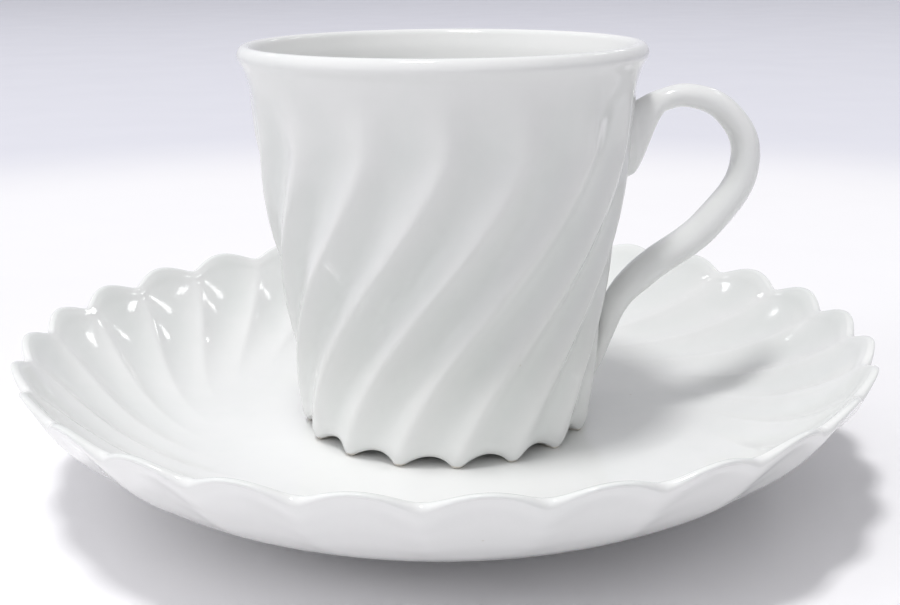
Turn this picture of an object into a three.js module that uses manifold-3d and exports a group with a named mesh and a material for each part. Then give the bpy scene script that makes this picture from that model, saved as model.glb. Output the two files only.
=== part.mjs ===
// A small fluted porcelain coffee cup standing on its saucer, in millimetres with Z up.
// The origin is on the table under the saucer's centre, and the cup's handle points along +X.
import * as THREE from "three";
import { mergeVertices } from "three/addons/utils/BufferGeometryUtils.js";
import Module from "manifold-3d";

const wasm = await Module();
wasm.setup();

// Saucer
const saucerRadius = 61.2; // axis to the tip of a lobe
const saucerHeight = 22.4; // table to the tip of a lobe
const saucerRim = 1.6; // thickness at the rim
const wellMargin = 5; // flat floor left around the cup's foot
const wellThickness = 4;
const bowlCurve = 3.3; // exponent of the wall's rise from the well to the rim
const insideCurve = 3; // the same for the inside
const lobeCount = 28;
const lobeReach = 1.2; // how far a lobe stands out past the notches beside it
const lobeRise = 1.6; // how far a lobe stands up above the notches
const lobeWidth = 16; // band below the rim where the lobes show
const bowlFluteDepth = 0.7; // hollow of each flute inside the bowl
const bowlFluteStart = 8; // from the well to where the flutes begin
const bowlFluteFull = 28; // from the well to where the flutes have their full depth
const bowlSwirl = 35; // degrees that a flute turns between the rim and its other end
const bowlSwirlCurve = 1.8; // exponent of that turn
const saucerFootRadius = 29;
const saucerFootWidth = 3;
const saucerFootHeight = 3.6; // table to the underside of the well

// Cup, with heights above its own foot
const cupHeight = 55.6;
const cupFootRadius = 21;
const cupWaistRadius = 23.4;
const cupWaistHeight = 19.5;
const cupShoulderRadius = 26.5;
const cupShoulderDrop = 16; // below the rim
const cupNeckRadius = 27.2;
const cupNeckDrop = 6.5; // below the rim
const cupRimRadius = 28.5;
const cupWall = 2.1; // at the bottom of a flute, and at the rim
const cupFloor = 3.2;
const cupFloorBend = 6; // bend between the floor and the wall inside
const cupFluteCount = 16;
const cupFluteDepth = 0.9;
const cupFluteFade = 15; // below the rim, where the flutes begin to fade
const cupFluteEnd = 3; // below the rim, where the flutes are gone
const cupSwirl = 64; // degrees that a ridge turns on its way up
const cupSwirlEnd = 12.6; // below the rim, where a ridge runs straight up again
const cupFootWidth = 3.4;
const cupFootRecess = 2.8; // hollow under the floor
const cupArchRise = 1.7; // arch at the bottom end of each flute

// Handle
const handleReach = 18.9; // wall to the outside of the loop
const handleTopDrop = 6.5; // rim to the outside of the loop's top
const handleRootDrop = 10.9; // rim to the middle of the rod where it leaves the wall
const handleSideDrop = 17.6; // rim to the loop's widest place
const handleLowRoot = 17.4; // foot to the middle of the lower root
const handleTail = 7.4; // foot to the end of the tail
const handleThickness = 3.5; // in the plane of the loop, at its top
const handleLowThickness = 4.4; // the same at the lower root
const handleTailThickness = 2.8;
const handleWidth = 4.6; // across the loop
const handleRootLength = 10.5; // along the wall
const handleRootBlend = 6; // from the wall to where the root has thinned to the rod
const handleBite = 3; // how deep the line starts inside the wall, before it is trimmed
const slipSeam = 0.3; // gap between the handle's roots and the wall

// Steps of each surface
const lobeSteps = 4;
const bowlSteps = 8;
const lipSteps = 3;
const cupFluteSteps = 6;
const cupWallSteps = 14;
const cupInsideSteps = 5;
const cupBendSteps = 3;
const handleSides = 12;
const handleSteps = 46;

const { degToRad, lerp, smoothstep } = THREE.MathUtils;
const seatHeight = saucerFootHeight + wellThickness;

// How far an angle lies into one of the scallops around the axis: 0 on a ridge, 1 in the middle.
function scallop(angle, count) {
  return Math.abs(Math.sin((angle * count) / 2));
}

// A ring of points from a function that gives the radius and height at an angle.
function ring(count, twist, place) {
  const points = [];
  for (let i = 0; i < count; i++) {
    const angle = (2 * Math.PI * i) / count;
    const { radius, height } = place(angle);
    const turned = angle + twist;
    points.push(new THREE.Vector3(radius * Math.cos(turned), radius * Math.sin(turned), height));
  }
  return points;
}

function plainRing(count, twist, radius, height) {
  return ring(count, twist, () => ({ radius, height }));
}

function axisPoint(height) {
  return [new THREE.Vector3(0, 0, height)];
}

// A closed skin over rings of points, which begin and end with a single point.
function skin(rings) {
  const count = rings[1].length;
  const starts = [0];
  rings.forEach((points) => starts.push(starts.at(-1) + points.length));
  const corner = (i, j) => starts[i] + (j % rings[i].length);
  const index = [];
  for (let i = 0; i + 1 < rings.length; i++) {
    for (let j = 0; j < count; j++) {
      const near = corner(i, j);
      const nearNext = corner(i, j + 1);
      const far = corner(i + 1, j);
      const farNext = corner(i + 1, j + 1);
      if (far !== farNext) index.push(near, far, farNext);
      if (near !== nearNext) index.push(near, farNext, nearNext);
    }
  }
  const geometry = new THREE.BufferGeometry().setFromPoints(rings.flat());
  geometry.setIndex(index);
  geometry.computeVertexNormals();
  return geometry;
}

// A closed geometry as a solid that can be cut.
function solidOf(geometry) {
  const bare = geometry.clone();
  bare.deleteAttribute("normal");
  const merged = mergeVertices(bare);
  const mesh = new wasm.Mesh({
    numProp: 3,
    vertProperties: new Float32Array(merged.attributes.position.array),
    triVerts: new Uint32Array(merged.index.array),
  });
  return new wasm.Manifold(mesh);
}

// A cut solid back as a geometry.
function geometryOf(solid) {
  const mesh = solid.getMesh();
  const geometry = new THREE.BufferGeometry();
  geometry.setAttribute("position", new THREE.BufferAttribute(mesh.vertProperties, 3));
  geometry.setIndex(new THREE.BufferAttribute(mesh.triVerts, 1));
  geometry.computeVertexNormals();
  return geometry;
}

// The saucer's wall is given by its middle surface and its thickness, as shares of the way from
// the edge of the well, at 0, to the rim, at 1.
const wellRadius = cupFootRadius + wellMargin;
const bowlSpan = saucerRadius - saucerRim / 2 - wellRadius;
const wellMiddle = seatHeight - wellThickness / 2;
const bowlRise = saucerHeight - saucerRim / 2 - wellMiddle;

function bowlAt(share) {
  return {
    radius: wellRadius + bowlSpan * share,
    height: wellMiddle + bowlRise * share ** bowlCurve,
    slope: Math.atan((bowlRise * bowlCurve * share ** (bowlCurve - 1)) / bowlSpan),
    half: lerp(wellThickness, saucerRim, share) / 2,
  };
}

// The inside starts flat at the well and meets the wall's inner side at the rim.
function bowlInsideAt(share) {
  const rim = bowlAt(1);
  const rimRadius = rim.radius - rim.half * Math.sin(rim.slope);
  const rise = rim.height + rim.half * Math.cos(rim.slope) - seatHeight;
  const span = rimRadius - wellRadius;
  return {
    radius: wellRadius + span * share,
    height: seatHeight + rise * share ** insideCurve,
    slope: Math.atan((rise * insideCurve * share ** (insideCurve - 1)) / span),
    half: 0,
  };
}

// A ring on the wall's skin. A side of 90 degrees is inside the bowl, 0 the rim's edge, -90 underneath.
function bowlRing(share, side) {
  const { radius, height, slope, half } = side === 90 ? bowlInsideAt(share) : bowlAt(share);
  const facing = slope + degToRad(side);
  const inside = Math.max(Math.sin(degToRad(side)), 0);
  const fluteStart = bowlFluteStart / bowlSpan;
  const lobeShare = smoothstep(share, 1 - lobeWidth / bowlSpan, 1);
  const fluteShare = inside * smoothstep(share, fluteStart, bowlFluteFull / bowlSpan);
  const turn = Math.min((1 - share) / (1 - fluteStart), 1) ** bowlSwirlCurve;
  return ring(lobeCount * lobeSteps, inside * degToRad(bowlSwirl) * turn, (angle) => {
    const lobe = scallop(angle + Math.PI / lobeCount, lobeCount);
    const skinDistance = half - bowlFluteDepth * fluteShare * lobe;
    return {
      radius: radius + skinDistance * Math.cos(facing) - lobeReach * lobeShare * (1 - lobe),
      height: height + skinDistance * Math.sin(facing) - lobeRise * lobeShare * (1 - lobe),
    };
  });
}

function saucerGeometry() {
  const count = lobeCount * lobeSteps;
  const rings = [axisPoint(seatHeight)];
  for (let i = 0; i <= bowlSteps; i++) {
    rings.push(bowlRing(i / bowlSteps, 90));
  }
  for (let i = 1; i < lipSteps; i++) {
    rings.push(bowlRing(1, lerp(90, -90, i / lipSteps)));
  }
  const footInner = saucerFootRadius - saucerFootWidth;
  const footShare = (saucerFootRadius - wellRadius) / bowlSpan;
  for (let i = bowlSteps; i > 0; i--) {
    rings.push(bowlRing(lerp(Math.max(footShare, 0), 1, i / bowlSteps), -90));
  }
  rings.push(plainRing(count, 0, saucerFootRadius, saucerFootHeight));
  rings.push(plainRing(count, 0, saucerFootRadius, 0));
  rings.push(plainRing(count, 0, footInner, 0));
  rings.push(plainRing(count, 0, footInner, saucerFootHeight));
  rings.push(axisPoint(saucerFootHeight));
  return skin(rings);
}

// Outside of the cup along its ridges, as radius against height.
const cupOutline = new THREE.SplineCurve([
  new THREE.Vector2(cupFootRadius, 0),
  new THREE.Vector2(cupWaistRadius, cupWaistHeight),
  new THREE.Vector2(cupShoulderRadius, cupHeight - cupShoulderDrop),
  new THREE.Vector2(cupNeckRadius, cupHeight - cupNeckDrop),
  new THREE.Vector2(cupRimRadius, cupHeight),
]);
const cupOutlinePoints = cupOutline.getPoints(200);

function cupRadiusAt(height) {
  const above = cupOutlinePoints.findIndex((point) => point.y >= height);
  const i = above < 0 ? cupOutlinePoints.length - 1 : Math.max(above, 1);
  const low = cupOutlinePoints[i - 1];
  const high = cupOutlinePoints[i];
  return lerp(low.x, high.x, (height - low.y) / (high.y - low.y));
}

function cupFluteDepthAt(height) {
  return cupFluteDepth * (1 - smoothstep(height, cupHeight - cupFluteFade, cupHeight - cupFluteEnd));
}

// A ridge leans most at mid height.
function cupTwistAt(height) {
  const share = Math.min(height / (cupHeight - cupSwirlEnd), 1);
  return degToRad(cupSwirl) * lerp(share, smoothstep(share, 0, 1), 0.5);
}

function cupInsideRadiusAt(height) {
  return cupRadiusAt(height) - cupFluteDepthAt(height) - cupWall;
}

// A ring of the cup's fluted outside, moved out by a gap.
function cupOutsideRing(height, gap) {
  return ring(cupFluteCount * cupFluteSteps, cupTwistAt(height), (angle) => {
    const hollow = cupFluteDepthAt(height) * scallop(angle, cupFluteCount);
    return { radius: cupRadiusAt(height) - hollow + gap, height };
  });
}

// The foot's lower edge: an arch at the end of each flute, and a flat land under each ridge.
function cupArchAt(angle) {
  return cupArchRise * Math.max(0, 2 * scallop(angle, cupFluteCount) - 1);
}

function cupBodyGeometry() {
  const count = cupFluteCount * cupFluteSteps;
  const topTwist = cupTwistAt(cupHeight);
  const floorTop = cupFootRecess + cupFloor;
  const bendTop = floorTop + cupFloorBend;
  const bendCentre = cupInsideRadiusAt(bendTop) - cupFloorBend;
  const lipRadius = cupWall / 2;
  const lipLevel = cupHeight - lipRadius;
  const lipCentre = cupRimRadius - lipRadius;
  const rings = [axisPoint(floorTop)];
  // Inside: the bend from the floor, the wall and the rounded lip
  for (let i = 0; i < cupBendSteps; i++) {
    const turn = ((Math.PI / 2) * i) / cupBendSteps;
    const radius = bendCentre + cupFloorBend * Math.sin(turn);
    rings.push(plainRing(count, topTwist, radius, bendTop - cupFloorBend * Math.cos(turn)));
  }
  for (let i = 0; i < cupInsideSteps; i++) {
    const height = lerp(bendTop, lipLevel, i / cupInsideSteps);
    rings.push(plainRing(count, topTwist, cupInsideRadiusAt(height), height));
  }
  for (let i = 0; i <= lipSteps; i++) {
    const turn = Math.PI * (1 - i / lipSteps);
    const radius = lipCentre + lipRadius * Math.cos(turn);
    rings.push(plainRing(count, topTwist, radius, lipLevel + lipRadius * Math.sin(turn)));
  }
  // Outside: the fluted wall, which stops at the recess's level, and the arched edge below it
  for (let i = 1; i <= cupWallSteps; i++) {
    rings.push(cupOutsideRing(lerp(lipLevel, cupFootRecess, i / cupWallSteps), 0));
  }
  const edge = cupOutsideRing(0, 0);
  edge.forEach((point, i) => point.setZ(cupArchAt((2 * Math.PI * i) / count)));
  rings.push(edge);
  // Underneath: the foot's width and the recess within it
  const footInner = cupFootRadius - cupFootWidth;
  rings.push(ring(count, 0, (angle) => ({ radius: footInner, height: cupArchAt(angle) })));
  rings.push(plainRing(count, 0, footInner - cupFootRecess / 2, cupFootRecess));
  rings.push(axisPoint(cupFootRecess));
  return skin(rings);
}

// All that lies within the cup's outside and the seam around it, which trims the handle's roots.
function cupEnvelope() {
  const rings = [axisPoint(cupHeight)];
  for (let i = 0; i <= cupWallSteps; i++) {
    rings.push(cupOutsideRing(lerp(cupHeight, 0, i / cupWallSteps), slipSeam));
  }
  rings.push(axisPoint(0));
  return solidOf(skin(rings));
}

// Line of the handle's rod: out from the upper root, round the loop, down to the lower root and
// along the wall to the end of the tail.
function handlePath() {
  const rootLevel = cupHeight - handleRootDrop;
  const topLevel = cupHeight - handleTopDrop - handleThickness / 2;
  const sideLevel = cupHeight - handleSideDrop;
  const wall = cupRadiusAt(rootLevel);
  const lowWall = cupRadiusAt(handleLowRoot);
  const side = wall + handleReach - (handleThickness + handleLowThickness) / 4;
  const at = (radius, height) => new THREE.Vector3(radius, 0, height);
  return new THREE.CatmullRomCurve3([
    at(wall - handleBite, lerp(rootLevel, topLevel, -0.2)),
    at(wall, rootLevel),
    at(lerp(wall, side, 0.25), lerp(rootLevel, topLevel, 0.72)),
    at(lerp(wall, side, 0.5), topLevel),
    at(lerp(wall, side, 0.86), lerp(topLevel, sideLevel, 0.3)),
    at(side, sideLevel),
    at(lerp(side, lowWall, 0.22), lerp(sideLevel, handleLowRoot, 0.45)),
    at(lerp(side, lowWall, 0.75), lerp(sideLevel, handleLowRoot, 0.85)),
    at(lowWall + handleTailThickness / 2, handleLowRoot),
    at(cupRadiusAt(handleTail), handleTail),
  ]);
}

// Handle: an oval rod along that line, which flares down the wall at its upper root, thickens
// towards the lower root and thins along its tail.
function handleGeometry() {
  const path = handlePath();
  const across = new THREE.Vector3(0, 1, 0);
  const upTheWall = new THREE.Vector3(0, 0, 1);
  const length = path.getLength();
  const tailLength = handleLowRoot - handleTail;
  const rings = [[path.getPointAt(0)]];
  for (let i = 0; i <= handleSteps; i++) {
    const share = i / handleSteps;
    const root = 1 - smoothstep(share * length, handleBite, handleBite + handleRootBlend);
    const low = smoothstep(share, 0, 1 - tailLength / length);
    const tail = smoothstep(share, 1 - (2 * tailLength) / length, 1);
    const rod = lerp(lerp(handleThickness, handleLowThickness, low), handleTailThickness, tail);
    const flare = (handleRootLength - handleThickness) * root;
    const outward = new THREE.Vector3().crossVectors(path.getTangentAt(share), across);
    outward.lerp(upTheWall, root).normalize();
    const middle = path.getPointAt(share).addScaledVector(outward, -flare / 2);
    const wide = lerp(handleWidth, handleTailThickness, tail) / 2;
    const points = [];
    for (let j = 0; j < handleSides; j++) {
      const angle = (2 * Math.PI * j) / handleSides;
      const point = middle.clone();
      point.addScaledVector(outward, ((rod + flare) / 2) * Math.cos(angle));
      point.addScaledVector(across, wide * Math.sin(angle));
      points.push(point);
    }
    rings.push(points);
  }
  rings.push([path.getPointAt(1)]);
  return geometryOf(solidOf(skin(rings)).subtract(cupEnvelope()));
}

function piece(name, geometry) {
  const porcelain = new THREE.MeshStandardMaterial({ color: 0xf2f3ef, roughness: 0.12, metalness: 0 });
  const mesh = new THREE.Mesh(geometry, porcelain);
  mesh.name = name;
  return mesh;
}

const cup = new THREE.Group();
cup.position.z = seatHeight;
cup.add(piece("cup_body", cupBodyGeometry()));
cup.add(piece("cup_handle", handleGeometry()));

const cupWithSaucer = new THREE.Group();
cupWithSaucer.add(piece("saucer", saucerGeometry()));
cupWithSaucer.add(cup);

export default cupWithSaucer;
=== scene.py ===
from math import atan, atan2, cos, exp, hypot, pi, radians, sin, sqrt
import bpy
from mathutils import Euler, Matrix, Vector


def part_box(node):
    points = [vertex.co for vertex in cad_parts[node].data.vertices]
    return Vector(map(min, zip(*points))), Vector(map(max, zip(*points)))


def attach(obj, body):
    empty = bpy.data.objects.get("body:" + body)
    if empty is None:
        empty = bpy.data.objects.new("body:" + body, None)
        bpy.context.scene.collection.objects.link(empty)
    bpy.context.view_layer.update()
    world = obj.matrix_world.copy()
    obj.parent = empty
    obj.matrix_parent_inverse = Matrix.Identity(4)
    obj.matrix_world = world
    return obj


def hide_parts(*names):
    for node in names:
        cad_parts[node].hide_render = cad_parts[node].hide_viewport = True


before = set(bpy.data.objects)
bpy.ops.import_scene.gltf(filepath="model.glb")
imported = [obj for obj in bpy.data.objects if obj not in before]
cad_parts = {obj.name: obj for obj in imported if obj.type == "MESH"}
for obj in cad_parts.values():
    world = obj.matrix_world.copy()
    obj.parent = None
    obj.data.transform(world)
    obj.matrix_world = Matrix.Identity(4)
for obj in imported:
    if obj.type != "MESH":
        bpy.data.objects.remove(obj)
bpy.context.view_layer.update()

mm = 0.001
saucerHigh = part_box("saucer")[1]
cupLow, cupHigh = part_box("cup_body")
seat = cupLow.z / mm  # the cup's foot stands here
print("frame loaded, cup stands", round(seat, 2), "mm above the table")


def mix(a, b, share):
    return a + (b - a) * share


def smoothStep(low, high, value):
    share = min(max((value - low) / (high - low), 0), 1)
    return share * share * (3 - 2 * share)


# 0 on a ridge, 1 in the middle of a hollow; a little softness rounds the ridge
def scallop(angle, count, soft):
    wave = sin(angle * count / 2)
    return (sqrt(wave * wave + soft * soft) - soft) / (sqrt(1 + soft * soft) - soft)


def clearSelection():
    if bpy.context.object and bpy.context.object.mode != "OBJECT":
        bpy.ops.object.mode_set(mode="OBJECT")
    bpy.ops.object.select_all(action="DESELECT")


# a smooth line through points, as an object that is still a curve
def drawLine(name, points, detail, corners=()):
    clearSelection()
    bpy.ops.curve.primitive_bezier_curve_add(location=(0, 0, 0))
    line = bpy.context.object
    line.name = name
    spline = line.data.splines[0]
    spline.bezier_points.add(len(points) - 2)
    for i, (point, place) in enumerate(zip(spline.bezier_points, points)):
        point.co = Vector(place) * mm
        kind = "VECTOR" if i in corners else "AUTO"
        point.handle_left_type = kind
        point.handle_right_type = kind
    line.data.resolution_u = detail
    return line


# spins a half section through one scallop; each vertex keeps its place along the section in "along"
def turnScallop(name, section, detail, columns, count, corners):
    line = drawLine(name, [(radius, 0, height) for radius, height in section], detail, corners)
    bpy.ops.object.convert(target="MESH")
    along = line.data.attributes.new("along", "FLOAT", "POINT")
    for i, item in enumerate(along.data):
        item.value = i / detail
    bpy.ops.object.mode_set(mode="EDIT")
    bpy.ops.mesh.select_all(action="SELECT")
    bpy.ops.mesh.spin(steps=columns, angle=2 * pi / count, center=(0, 0, 0), axis=(0, 0, 1))
    bpy.ops.object.mode_set(mode="OBJECT")
    return line


# gives every vertex of a turned piece its new place, and keeps how deep it lies in a hollow
def pressScallop(piece, press):
    along = [item.value for item in piece.data.attributes["along"].data]
    hollow = piece.data.attributes.new("hollow", "FLOAT", "POINT")
    for vert, at, item in zip(piece.data.vertices, along, hollow.data):
        radius = hypot(vert.co.x, vert.co.y) / mm
        angle = atan2(vert.co.y, vert.co.x)
        radius, angle, height, item.value = press(radius, angle, vert.co.z / mm, at)
        vert.co = (radius * cos(angle) * mm, radius * sin(angle) * mm, height * mm)
    piece.data.attributes.remove(piece.data.attributes["along"])


# copies the scallop round the axis and closes it all into one skin
def copyRound(piece, count):
    bpy.ops.object.mode_set(mode="EDIT")
    bpy.ops.mesh.select_all(action="SELECT")
    bpy.ops.mesh.spin(dupli=True, steps=count - 1, angle=2 * pi * (count - 1) / count,
                      center=(0, 0, 0), axis=(0, 0, 1))
    bpy.ops.mesh.select_all(action="SELECT")
    bpy.ops.mesh.remove_doubles(threshold=0.000002)
    bpy.ops.mesh.normals_make_consistent(inside=False)
    bpy.ops.object.mode_set(mode="OBJECT")
    bpy.ops.object.shade_smooth()


# saucer, in mm
saucer = {
    "radius": saucerHigh.x / mm,  # axis to the tip of a lobe
    "height": saucerHigh.z / mm + 0.5,  # a lobe stands a little above the plain solid
    "rim": 1.6,
    "outerRim": 2.3,  # twice the distance of the outside from the wall's line, at the rim
    "well": 26.0,
    "wellThickness": 4.0,
    "footHeight": 3.6,
    "footRadius": 29.0,
    "footWidth": 3.0,
    "footRound": 0.9,
    "bowlCurve": 3.3,
    "insideCurve": 3.0,
    "lobes": 28,
    "lobeReach": 0.9,
    "lobeRise": 2.3,
    "lobeWidthInside": 9.0,
    "lobeWidthOutside": 11.0,
    "lobeEdge": 59.4,
    "fluteDepth": 0.85,
    "fluteOut": 0.5,  # a hollow goes outwards and down by these shares of its depth
    "fluteDown": 0.85,
    "fluteStart": 34.0,
    "fluteFull": 58.0,
    "rimCusp": 0.75,  # makes the ridges sharper towards the rim
    "swirl": 34.0,
    "swirlWidth": 26.0,
    "swirlCurve": 1.8,
    "ridgeSoft": 0.18,
    "columns": 18,  # in each lobe
    "detail": 5,  # steps between two points of the section
}


# the outside of the bowl, and the rounding of its rim
def bowlLine(share, side):
    span = saucer["radius"] - saucer["outerRim"] / 2 - saucer["well"]
    low = saucer["footHeight"] + saucer["wellThickness"] / 2
    rise = saucer["height"] - saucer["rim"] + saucer["outerRim"] / 2 - low
    slope = atan(rise * saucer["bowlCurve"] * share ** (saucer["bowlCurve"] - 1) / span)
    outer = mix(saucer["wellThickness"], saucer["outerRim"], share) / 2
    half = saucer["rim"] / 2
    facing = slope + radians(side)
    drop = outer - half
    return (saucer["well"] + span * share + half * cos(facing) + drop * sin(slope),
            low + rise * share ** saucer["bowlCurve"] + half * sin(facing) - drop * cos(slope))


# the inside has a curve of its own, which starts flat at the well
def bowlInside(share):
    radius, height = bowlLine(1, 90)
    top = saucer["footHeight"] + saucer["wellThickness"]
    return mix(saucer["well"], radius, share), top + (height - top) * share ** saucer["insideCurve"]


def makeSaucer():
    top = saucer["footHeight"] + saucer["wellThickness"]
    footOut = saucer["footRadius"]
    footIn = footOut - saucer["footWidth"]
    footHigh = saucer["footHeight"]
    footRound = saucer["footRound"]
    section = [(0, top), (saucer["well"] * 0.5, top), (saucer["well"] * 0.85, top)]
    section += [bowlInside(share) for share in (0.1, 0.2, 0.3, 0.4, 0.5, 0.6, 0.7, 0.8, 0.88, 0.95, 1)]
    rimStart = len(section) - 1
    section += [bowlLine(1, side) for side in (45, 0, -45)]
    section += [bowlLine(share, -90) for share in (1, 0.94, 0.86, 0.76, 0.65, 0.5, 0.35, 0.2)]
    footStart = len(section)
    section += [(footOut + 0.5, footHigh + 0.3), (footOut, footHigh - 1.2), (footOut - 0.2, 0.8),
                (footOut - footRound, 0), (footIn + footRound, 0), (footIn + 0.2, 0.8),
                (footIn - 0.1, footHigh - 1.2), (footIn - 1.4, footHigh), (footIn * 0.5, footHigh),
                (0, footHigh)]
    count = saucer["lobes"]
    corners = (0, 1, footStart + 3, footStart + 4, len(section) - 1)
    piece = turnScallop("saucerDish", section, saucer["detail"], saucer["columns"], count, corners)
    rimEnd = rimStart + 4
    swirl = radians(saucer["swirl"])
    reach = saucer["radius"]

    def press(radius, angle, height, at):
        if at >= footStart:
            return radius, angle, max(height, 0), 0
        lobe = scallop(angle + pi / count, count, saucer["ridgeSoft"])
        inside = 1 - smoothStep(rimStart, rimEnd, at)
        width = mix(saucer["lobeWidthOutside"], saucer["lobeWidthInside"], inside)
        lobeShare = min(max((radius - saucer["lobeEdge"]) / width + 1, 0), 1) ** 2
        fluteShare = inside * smoothStep(saucer["fluteStart"], saucer["fluteFull"], radius)
        turn = inside * swirl * (max(reach - radius, 0) / saucer["swirlWidth"]) ** saucer["swirlCurve"]
        depth = saucer["fluteDepth"] * fluteShare * lobe ** mix(1, saucer["rimCusp"], fluteShare)
        newRadius = radius + depth * saucer["fluteOut"] - saucer["lobeReach"] * lobeShare * (1 - lobe)
        newHeight = height - depth * saucer["fluteDown"] - saucer["lobeRise"] * lobeShare * (1 - lobe)
        return newRadius, angle + min(turn, swirl), newHeight, fluteShare * lobe

    pressScallop(piece, press)
    copyRound(piece, count)
    return piece


saucerDish = makeSaucer()
print("saucer modelled:", len(saucerDish.data.polygons), "faces")


# cup, in mm above its own foot
cup = {
    "height": (cupHigh.z - cupLow.z) / mm,
    "outline": ((21.0, 0.0), (21.7, 4.0), (22.3, 9.5), (23.4, 19.5), (25.0, 29.5), (26.45, 39.6),
                (27.1, 46.5), (27.35, 50.0), (27.8, 52.4), (28.5, 54.4)),
    "wall": 2.1,
    "lip": 1.1,  # radius of the rounding
    "floor": 6.0,
    "floorBend": 6.0,
    "flutes": 16,
    "fluteDepth": 1.3,
    "fluteLow": 0.7,  # share of that depth at the foot
    "fluteLowEnd": 14.0,  # height where they reach their full depth
    "fluteFade": 14.0,  # below the rim
    "fluteEnd": 1.6,
    "swirl": 64.0,
    "swirlTop": 43.0,
    "swirlEase": 0.5,  # 0 turns evenly, 1 turns most at mid height
    "ridgeSoft": 0.34,
    "footWidth": 3.4,
    "recess": 2.8,
    "archRise": 1.45,
    "archWidth": 0.85,  # share of a flute
    "archBlend": 6.0,
    "archLean": 0.13,  # how far the wall leans out where an arch lifts it
    "archBow": 0.8,
    "columns": 20,  # in each flute
    "detail": 6,
}


def cupFluteAt(height):
    fade = 1 - smoothStep(cup["height"] - cup["fluteFade"], cup["height"] - cup["fluteEnd"], height)
    return cup["fluteDepth"] * fade * mix(cup["fluteLow"], 1, smoothStep(0, cup["fluteLowEnd"], height))


# steep at first, leaning most at mid height and upright again below the lip
def cupTwistAt(height):
    share = min(max(height / cup["swirlTop"], 0), 1)
    return radians(cup["swirl"]) * mix(share, smoothStep(0, 1, share), cup["swirlEase"])


# an arch is a flat bow between two narrow lands
def cupArchAt(angle):
    across = abs((angle * cup["flutes"] / (2 * pi)) % 1 - 0.5) * 2 / cup["archWidth"]
    return cup["archRise"] * max(0, 1 - across * across) ** cup["archBow"]


def makeCup():
    tall = cup["height"]
    lip = cup["lip"]
    rimRadius = cup["outline"][-1][0]
    inside = [(radius - cupFluteAt(height) - cup["wall"], height)
              for radius, height in cup["outline"][3:-2]]
    bend = cup["floorBend"]
    bendRadius = inside[0][0] - 0.9
    section = [(0, cup["floor"]), (bendRadius * 0.4, cup["floor"]),
               (bendRadius - bend, cup["floor"] + 0.05),
               (bendRadius - bend * 0.3, cup["floor"] + bend * 0.3), (bendRadius, cup["floor"] + bend)]
    section += inside
    section += [(rimRadius - 2 * lip - 0.25, tall - lip * 1.5), (rimRadius - lip, tall),
                (rimRadius, tall - lip)]
    lipAt = len(section) - 2
    section += reversed(cup["outline"][1:-1])
    footAt = len(section)
    foot = cup["outline"][0][0]
    section += [(foot + 0.15, 0.7), (foot - 0.4, 0), (foot - cup["footWidth"] + 0.5, 0),
                (foot - cup["footWidth"] - 0.2, 0.8), (foot - cup["footWidth"] - 1.2, cup["recess"]),
                (foot * 0.4, cup["recess"]), (0, cup["recess"])]
    count = cup["flutes"]
    corners = (0, footAt + 1, footAt + 2, len(section) - 1)
    piece = turnScallop("cupBody", section, cup["detail"], cup["columns"], count, corners)

    def press(radius, angle, height, at):
        hollow = scallop(angle, count, cup["ridgeSoft"])
        outside = smoothStep(lipAt, lipAt + 1, at)
        under = smoothStep(footAt + 2, footAt + 3, at)
        blend = 1 - smoothStep(0, cup["archBlend"], height)
        blend *= 1 - smoothStep(footAt + 3, footAt + 4, at)
        lift = cupArchAt(angle) * blend if at > lipAt + 1 else 0
        height = max(height, 0)
        depth = cupFluteAt(height) * outside * (1 - under) * hollow
        turn = mix(cupTwistAt(tall), cupTwistAt(height + lift), outside)
        if at > footAt + 1:
            turn = cupTwistAt(lift) * (1 - under)
        shown = depth / cup["fluteDepth"]
        return radius - depth + cup["archLean"] * lift, angle + turn, height + lift + seat, shown

    pressScallop(piece, press)
    copyRound(piece, count)
    return piece


cupBody = makeCup()
print("cup modelled:", len(cupBody.data.polygons), "faces")


# handle, in mm, heights above the cup's foot
handle = {
    "line": ((24.7, 44.0), (27.2, 44.9), (31.2, 46.8), (35.5, 47.4), (41.3, 44.5), (43.9, 38.0),
             (39.1, 29.1), (29.0, 21.2), (25.7, 17.6), (23.8, 12.6), (22.2, 7.6), (20.6, 4.6)),
    "thickness": (3.5, 3.4, 3.2, 3.4, 3.8, 4.2, 4.6, 4.6, 3.9, 3.0, 2.2, 1.6),
    "width": 1.28,  # across the loop, as a share of the thickness
    "rootFlare": 7.0,  # how far the upper root runs down the wall
    "rootStart": 27.2,
    "rootEnd": 32.0,
    "slip": 0.35,  # widening where the root meets the wall
    "slipLength": 1.1,
    "sides": 24,
    "detail": 12,
}


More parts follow.
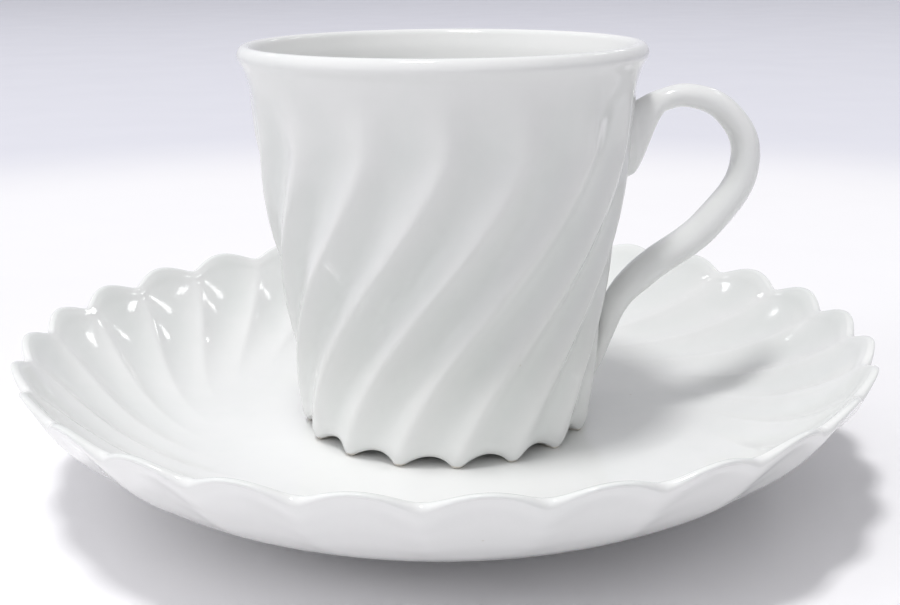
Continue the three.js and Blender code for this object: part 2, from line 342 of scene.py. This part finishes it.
def makeHandle():
    path = [(radius, 0, height + seat) for radius, height in handle["line"]]
    clearSelection()
    bpy.ops.curve.primitive_bezier_circle_add(radius=0.5 * mm)
    oval = bpy.context.object
    oval.data.resolution_u = handle["sides"] // 4
    line = drawLine("cupHandle", path, handle["detail"])
    line.data.bevel_mode = "OBJECT"
    line.data.bevel_object = oval
    line.data.twist_mode = "MINIMUM"
    for point, thick in zip(line.data.splines[0].bezier_points, handle["thickness"]):
        point.radius = thick
    bpy.ops.object.convert(target="MESH")
    bpy.data.objects.remove(oval)
    verts = line.data.vertices
    sides = handle["sides"]
    rings = len(verts) // sides
    middles = [sum((verts[i * sides + j].co for j in range(sides)), Vector()) / sides
               for i in range(rings)]
    for i, middle in enumerate(middles):
        along = middles[min(i + 1, rings - 1)] - middles[max(i - 1, 0)]
        outward = along.normalized().cross(Vector((0, 1, 0)))
        half = (verts[i * sides].co - middle).length
        upper = i < rings / 3
        past = (middle.x / mm - handle["rootStart"]) / handle["slipLength"]
        slip = 1 + handle["slip"] * min(exp(-past), 1) if upper else 1
        for j in range(sides):
            vert = verts[i * sides + j]
            loop = smoothStep(handle["rootStart"], handle["rootEnd"], vert.co.x / mm) if upper else 1
            inward = (half - (vert.co - middle).dot(outward)) / (2 * half)
            vert.co.y *= handle["width"] * slip
            vert.co.z -= handle["rootFlare"] * mm * (1 - loop) * inward
    bpy.ops.object.mode_set(mode="EDIT")
    bpy.ops.mesh.select_all(action="SELECT")
    bpy.ops.mesh.remove_doubles(threshold=0.000002)
    bpy.ops.mesh.fill_holes(sides=0)
    bpy.ops.mesh.select_all(action="SELECT")
    bpy.ops.mesh.normals_make_consistent(inside=False)
    bpy.ops.object.mode_set(mode="OBJECT")
    smooth = line.modifiers.new("smooth", "SUBSURF")
    smooth.levels = smooth.render_levels = 1
    bpy.ops.object.modifier_apply(modifier=smooth.name)
    bpy.ops.object.shade_smooth()
    return line


cupHandle = makeHandle()
print("handle modelled:", len(cupHandle.data.polygons), "faces")


# a node with its settings; each input gets a value, or a link from another node's output
def addNode(tree, kind, inputs, **settings):
    node = tree.nodes.new(kind)
    for name, value in settings.items():
        setattr(node, name, value)
    for key, value in inputs.items():
        if isinstance(value, bpy.types.NodeSocket):
            tree.links.new(value, node.inputs[key])
        else:
            node.inputs[key].default_value = value
    return node


def addMath(tree, operation, first, second):
    return addNode(tree, "ShaderNodeMath", {0: first, 1: second}, operation=operation).outputs[0]


def addNoise(tree, where, scale, detail):
    inputs = {"Vector": where, "Scale": scale, "Detail": detail}
    return addNode(tree, "ShaderNodeTexNoise", inputs).outputs["Fac"]


def addRange(tree, value, fromLow, fromHigh, toLow, toHigh):
    inputs = {"Value": value, "From Min": fromLow, "From Max": fromHigh,
              "To Min": toLow, "To Max": toHigh}
    return addNode(tree, "ShaderNodeMapRange", inputs).outputs["Result"]


# spreads noise, which mostly lies between 0.3 and 0.7, over a range
def spreadNoise(tree, noise, low, high):
    return addRange(tree, noise, 0.3, 0.7, low, high)


def addBlend(tree, share, first, second):
    return addNode(tree, "ShaderNodeMix", {0: share, 6: first, 7: second}, data_type="RGBA").outputs[2]


# glaze; scales are per metre
glaze = {
    "thin": (0.81, 0.814, 0.805, 1),
    "pooled": (0.76, 0.778, 0.763, 1),  # thicker glaze in the hollows
    "speck": (0.7, 0.68, 0.63, 1),
    "bare": (0.7, 0.665, 0.6, 1),  # the foot is wiped clean for the kiln
    "bareEdge": 0.0005,
    "bareUneven": 0.00015,
    "bareRough": 0.7,
    "hollowPool": 0.7,  # how much the hollows, clouds and mottles add to the pooling
    "cloudPool": (-0.25, 0.3),
    "mottlePool": (-0.1, 0.1),
    "cloudScale": 60,
    "mottleScale": 420,
    "speckScale": 240,
    "speckSize": 0.05,
    "speckShare": 0.12,
    "waveScale": 115,
    "peelScale": 1500,
    "peelShare": 0.03,
    "waveHeight": 0.00009,
    "glossScale": 36,
    "gloss": (0.05, 0.11),
}


# colour, roughness and waviness of the glaze; the foot's level is an input
def makeGlazeLook():
    tree = bpy.data.node_groups.new("glazeLook", "ShaderNodeTree")
    tree.interface.new_socket("Foot", in_out="INPUT", socket_type="NodeSocketFloat")
    tree.interface.new_socket("Color", in_out="OUTPUT", socket_type="NodeSocketColor")
    tree.interface.new_socket("Roughness", in_out="OUTPUT", socket_type="NodeSocketFloat")
    tree.interface.new_socket("Normal", in_out="OUTPUT", socket_type="NodeSocketVector")
    given = tree.nodes.new("NodeGroupInput")
    where = tree.nodes.new("ShaderNodeTexCoord").outputs["Object"]
    hollow = addNode(tree, "ShaderNodeAttribute", {}, attribute_name="hollow").outputs["Fac"]
    cloud = addNoise(tree, where, glaze["cloudScale"], 3)
    mottle = addNoise(tree, where, glaze["mottleScale"], 2)
    # pooling follows the hollows, unevenly
    broad = spreadNoise(tree, cloud, *glaze["cloudPool"])
    fine = spreadNoise(tree, mottle, *glaze["mottlePool"])
    patches = addMath(tree, "ADD", broad, fine)
    pool = addMath(tree, "ADD", addMath(tree, "MULTIPLY", hollow, glaze["hollowPool"]), patches)
    color = addBlend(tree, pool, glaze["thin"], glaze["pooled"])
    cells = addNode(tree, "ShaderNodeTexVoronoi", {"Vector": where, "Scale": glaze["speckScale"]})
    dot = addRange(tree, cells.outputs["Distance"], glaze["speckSize"] * 0.5, glaze["speckSize"], 1, 0)
    chance = addNode(tree, "ShaderNodeSeparateColor", {0: cells.outputs["Color"]}).outputs[0]
    speck = addMath(tree, "MULTIPLY", dot, addMath(tree, "LESS_THAN", chance, glaze["speckShare"]))
    color = addBlend(tree, speck, color, glaze["speck"])
    # bare foot with an uneven edge
    level = addNode(tree, "ShaderNodeSeparateXYZ", {0: where}).outputs["Z"]
    above = addMath(tree, "SUBTRACT", level, given.outputs["Foot"])
    rise = spreadNoise(tree, mottle, -glaze["bareUneven"], glaze["bareUneven"])
    uneven = addMath(tree, "ADD", above, rise)
    bare = addRange(tree, uneven, glaze["bareEdge"] * 0.7, glaze["bareEdge"], 1, 0)
    color = addBlend(tree, bare, color, glaze["bare"])
    shine = spreadNoise(tree, addNoise(tree, where, glaze["glossScale"], 4), *glaze["gloss"])
    rough = addMath(tree, "ADD", shine, addMath(tree, "MULTIPLY", bare, glaze["bareRough"]))
    waves = addNoise(tree, where, glaze["waveScale"], 1)
    peel = addMath(tree, "MULTIPLY", addNoise(tree, where, glaze["peelScale"], 1), glaze["peelShare"])
    height = addMath(tree, "ADD", waves, peel)
    swell = {"Height": height, "Strength": 1, "Distance": glaze["waveHeight"]}
    normal = addNode(tree, "ShaderNodeBump", swell).outputs["Normal"]
    addNode(tree, "NodeGroupOutput", {"Color": color, "Roughness": rough, "Normal": normal})
    return tree


def makePorcelain(name, foot):
    material = bpy.data.materials.new(name)
    material.use_nodes = True
    tree = material.node_tree
    shader = tree.nodes["Principled BSDF"]
    shader.inputs["IOR"].default_value = 1.52
    look = addNode(tree, "ShaderNodeGroup", {}, node_tree=glazeLook)
    look.inputs["Foot"].default_value = foot
    tree.links.new(look.outputs["Color"], shader.inputs["Base Color"])
    tree.links.new(look.outputs["Roughness"], shader.inputs["Roughness"])
    tree.links.new(look.outputs["Normal"], shader.inputs["Normal"])
    return material


glazeLook = makeGlazeLook()
saucerPorcelain = makePorcelain("saucerPorcelain", 0)
cupPorcelain = makePorcelain("cupPorcelain", cupLow.z)
for piece, body, node, slot, material in (
        (saucerDish, "saucer", "saucer", "saucer_porcelain", saucerPorcelain),
        (cupBody, "cup", "cup_body", "cup_porcelain", cupPorcelain),
        (cupHandle, "cup", "cup_handle", "cup_porcelain", cupPorcelain)):
    piece.data.materials.clear()
    piece.data.materials.append(material)
    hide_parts(node)
    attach(piece, body)
print("pieces dressed")


# table top, white near the cup and greyer far away
floor = {
    "size": 5.0,
    "near": (0.93, 0.92, 0.94, 1),
    "far": (0.76, 0.76, 0.825, 1),
    "nearEnd": 0.24,
    "farStart": 0.36,
    "worn": (0.6, 0.6, 0.64, 1),
    "shine": 0.25,
    "wearScale": 22,
    "wearShare": 0.05,
    "gloss": (0.5, 0.65),
}
clearSelection()
bpy.ops.mesh.primitive_plane_add(size=floor["size"], location=(0, 0, 0))
tableTop = bpy.context.object
tableTop.name = "tableTop"
tablePaint = bpy.data.materials.new("tablePaint")
tablePaint.use_nodes = True
tree = tablePaint.node_tree
where = tree.nodes.new("ShaderNodeTexCoord").outputs["Object"]
distance = addNode(tree, "ShaderNodeVectorMath", {0: where}, operation="LENGTH").outputs["Value"]
fade = {"Value": distance, "From Min": floor["nearEnd"], "From Max": floor["farStart"]}
reach = addNode(tree, "ShaderNodeMapRange", fade, interpolation_type="SMOOTHSTEP").outputs["Result"]
paint = addBlend(tree, reach, floor["near"], floor["far"])
wear = addNoise(tree, where, floor["wearScale"], 3)
paint = addBlend(tree, addRange(tree, wear, 0.35, 0.75, 0, floor["wearShare"]), paint, floor["worn"])
shader = tree.nodes["Principled BSDF"]
shader.inputs["Specular IOR Level"].default_value = floor["shine"]
tree.links.new(paint, shader.inputs["Base Color"])
tree.links.new(spreadNoise(tree, wear, *floor["gloss"]), shader.inputs["Roughness"])
tableTop.data.materials.append(tablePaint)

# lamps: name, direction they shine from and height in degrees, size, watts
lampReach = 2.2
lampAim = Vector((0, 0, 0.03))
softLamps = ("keyLamp", "fillLamp")  # large cloths that leave no sharp reflection
lamps = (
    ("keyLamp", -162, 28, (0.6, 0.6), 5.6),
    ("fillLamp", -48, 24, (0.5, 0.5), 2.8),
    ("highLamp", -135, 78, (0.3, 0.36), 23.5),
    ("rightBackLow", 57, 30, (0.09, 0.2), 0.45),
    ("rightBackMid", 40, 40, (0.09, 0.2), 0.45),
    ("rightBackHigh", 26, 49, (0.09, 0.2), 0.45),
    ("leftBackLow", 126, 33, (0.08, 0.1), 0.3),
    ("leftBackHigh", 146, 43, (0.08, 0.1), 0.3),
)


def addLamp(name, around, above, size, watts):
    clearSelection()
    flat = cos(radians(above))
    way = Vector((flat * cos(radians(around)), flat * sin(radians(around)), sin(radians(above))))
    place = way * lampReach
    bpy.ops.object.light_add(type="AREA", location=place)
    lamp = bpy.context.object
    lamp.name = name
    lamp.data.shape = "RECTANGLE"
    lamp.data.size, lamp.data.size_y = size
    lamp.data.energy = watts
    lamp.visible_glossy = name not in softLamps
    lamp.rotation_euler = (lampAim - place).to_track_quat("-Z", "Y").to_euler()


for name, around, above, size, watts in lamps:
    addLamp(name, around, above, size, watts)

# room: a soft dome, brightest overhead towards the left, and one pale tone where it is seen or mirrored
roomLook = {
    "low": (0.19, 0.19, 0.195, 1),
    "high": (1.0, 1.0, 1.02, 1),
    "from": (-0.5, -0.25, 0.83),
    "seen": (0.7, 0.7, 0.76, 1),
}
room = bpy.data.worlds.new("room")
room.use_nodes = True
tree = room.node_tree
sky = tree.nodes.new("ShaderNodeTexCoord").outputs["Generated"]
brightest = Vector(roomLook["from"]).normalized()
toward = addNode(tree, "ShaderNodeVectorMath", {0: sky, 1: brightest}, operation="DOT_PRODUCT")
lobe = addMath(tree, "POWER", addMath(tree, "MAXIMUM", toward.outputs["Value"], 0), 2)
dome = addBlend(tree, lobe, roomLook["low"], roomLook["high"])
ray = tree.nodes.new("ShaderNodeLightPath").outputs
shown = addMath(tree, "MAXIMUM", ray["Is Camera Ray"], ray["Is Glossy Ray"])
tree.links.new(addBlend(tree, shown, dome, roomLook["seen"]), tree.nodes["Background"].inputs["Color"])
bpy.context.scene.world = room

# camera, in mm and degrees; the photograph is taken as 900 by 605
view = {
    "focus": 1270,
    "width": 900,
    "distance": 180.3,
    "height": 76.2,
    "pitch": 15.79,
    "roll": -0.46,
    "turn": 4.0,
    "side": 0.7,
}
clearSelection()
turn = radians(-view["turn"])
ahead = Vector((-sin(turn), cos(turn), 0))
right = Vector((cos(turn), sin(turn), 0))
place = -ahead * view["distance"] + right * view["side"] + Vector((0, 0, view["height"]))
bpy.ops.object.camera_add(location=place * mm)
camera = bpy.context.object
camera.data.sensor_width = 36
camera.data.lens = 36 * view["focus"] / view["width"]
camera.data.clip_start = 0.01
tilt = Euler((radians(90 - view["pitch"]), 0, 0)).to_matrix()
spin = Euler((0, 0, radians(view["roll"]))).to_matrix()
camera.rotation_euler = (Euler((0, 0, turn)).to_matrix() @ tilt @ spin).to_euler()
bpy.context.scene.camera = camera
bpy.context.scene.view_settings.view_transform = "Standard"
print("camera and lights set")
